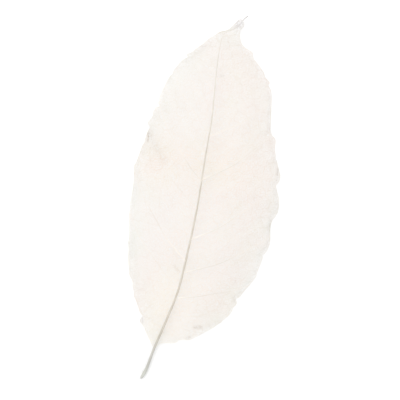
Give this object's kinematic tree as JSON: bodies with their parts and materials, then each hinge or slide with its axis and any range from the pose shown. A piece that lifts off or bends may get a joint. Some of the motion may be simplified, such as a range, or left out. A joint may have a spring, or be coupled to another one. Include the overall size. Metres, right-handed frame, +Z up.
{
  "type": "skeleton magnolia leaf",
  "caption": "Bleached skeleton leaf: an open net of fine veins on a midrib, with its short stalk, lying flat with a low arch.",
  "frame": {"origin": "on the surface the leaf lies on, below the middle of the leaf's length and width", "axes": "+Y along the leaf from the end of the stalk to the tip, +X to the right across the blade seen from above, +Z up"},
  "size_m": [0.0603, 0.1509, 0.0053],
  "materials": {
    "leaf_fibre": "matt bleached leaf fibre, off-white with a warm tint, greyer along the midrib and stalk"
  },
  "bodies": {
    "root": {"leaf": "leaf_fibre"}
  },
  "joints": []
}
